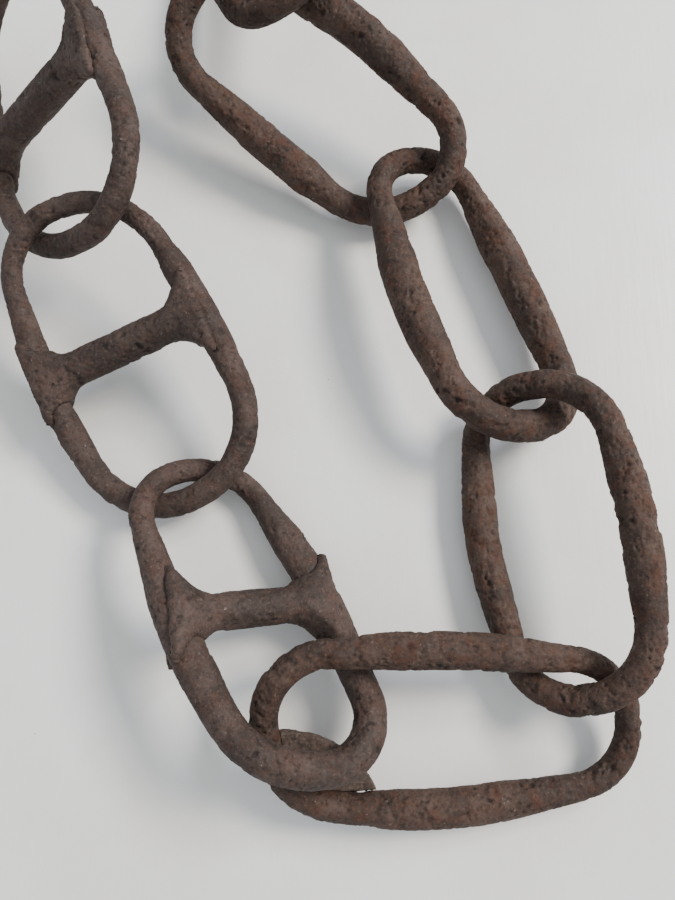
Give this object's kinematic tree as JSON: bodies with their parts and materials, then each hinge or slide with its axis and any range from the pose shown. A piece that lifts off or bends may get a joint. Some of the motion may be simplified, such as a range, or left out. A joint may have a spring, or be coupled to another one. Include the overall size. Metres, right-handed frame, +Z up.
{
  "type": "anchor chain",
  "caption": "Length of old forged anchor chain bent into a U, with cast-stud links along one side and plain long links along the other.",
  "frame": {"origin": "centre of the bounding box's footprint, on the surface that the chain lies on", "axes": "+Z up from the surface, +Y from the corner link that lies across towards the two ends of the chain, +X towards the side with the plain long links"},
  "size_m": [0.3628, 0.5774, 0.0917],
  "materials": {
    "stud_link_bars": "forged iron, dry brown rust, pitted",
    "studs": "cast iron, dry grey-brown rust",
    "long_link_bars": "forged iron, red-brown rust with deep dark pits",
    "weld_scale": "forged iron, grey-brown rust"
  },
  "bodies": {
    "long_link_1": {"long_link_1_bar": "long_link_bars", "weld_tongue": "weld_scale"},
    "stud_link_3": {"stud_link_3_bar": "stud_link_bars", "stud_link_3_stud": "studs"},
    "stud_link_2": {"stud_link_2_bar": "stud_link_bars", "stud_link_2_stud": "studs"},
    "stud_link_1": {"stud_link_1_bar": "stud_link_bars", "stud_link_1_stud": "studs"},
    "long_link_2": {"long_link_2_bar": "long_link_bars"},
    "long_link_3": {"long_link_3_bar": "long_link_bars"},
    "long_link_4": {"long_link_4_bar": "long_link_bars"},
    "long_link_5": {"long_link_5_bar": "long_link_bars"}
  },
  "joints": [
    {"name": "stud_link_3_hinge", "type": "hinge", "parent": "long_link_1", "child": "stud_link_3", "pos_m": [0.02029, -0.22213, 0.03016], "axis": [0.321, 0.3124, 0.8941], "range_deg": [-3, 30]},
    {"name": "stud_link_2_hinge", "type": "hinge", "parent": "stud_link_3", "child": "stud_link_2", "pos_m": [-0.06161, -0.0906, 0.02843], "axis": [-0.165, -0.2805, 0.9456], "range_deg": [-15, 30]},
    {"name": "stud_link_1_hinge", "type": "hinge", "parent": "stud_link_2", "child": "stud_link_1", "pos_m": [-0.10366, -0.02223, 0.04137], "axis": [-0.165, -0.2805, 0.9456], "range_deg": [-30, 10]},
    {"name": "long_link_2_hinge", "type": "hinge", "parent": "long_link_1", "child": "long_link_2", "pos_m": [0.14207, -0.19598, 0.03103], "axis": [-0.5426, -0.0702, 0.8371], "range_deg": [-30, 30]},
    {"name": "long_link_3_hinge", "type": "hinge", "parent": "long_link_2", "child": "long_link_3", "pos_m": [0.13123, -0.10715, 0.03146], "axis": [-0.5426, -0.0702, 0.8371], "range_deg": [-30, 20]},
    {"name": "long_link_4_hinge", "type": "hinge", "parent": "long_link_3", "child": "long_link_4", "pos_m": [0.08119, 0.03885, 0.02276], "axis": [0.275, 0.1463, 0.9502], "range_deg": [-30, 8]},
    {"name": "long_link_5_hinge", "type": "hinge", "parent": "long_link_4", "child": "long_link_5", "pos_m": [0.00286, 0.15373, 0.06814], "axis": [-0.5503, 0.1398, 0.8232], "range_deg": [-15, 25]}
  ]
}
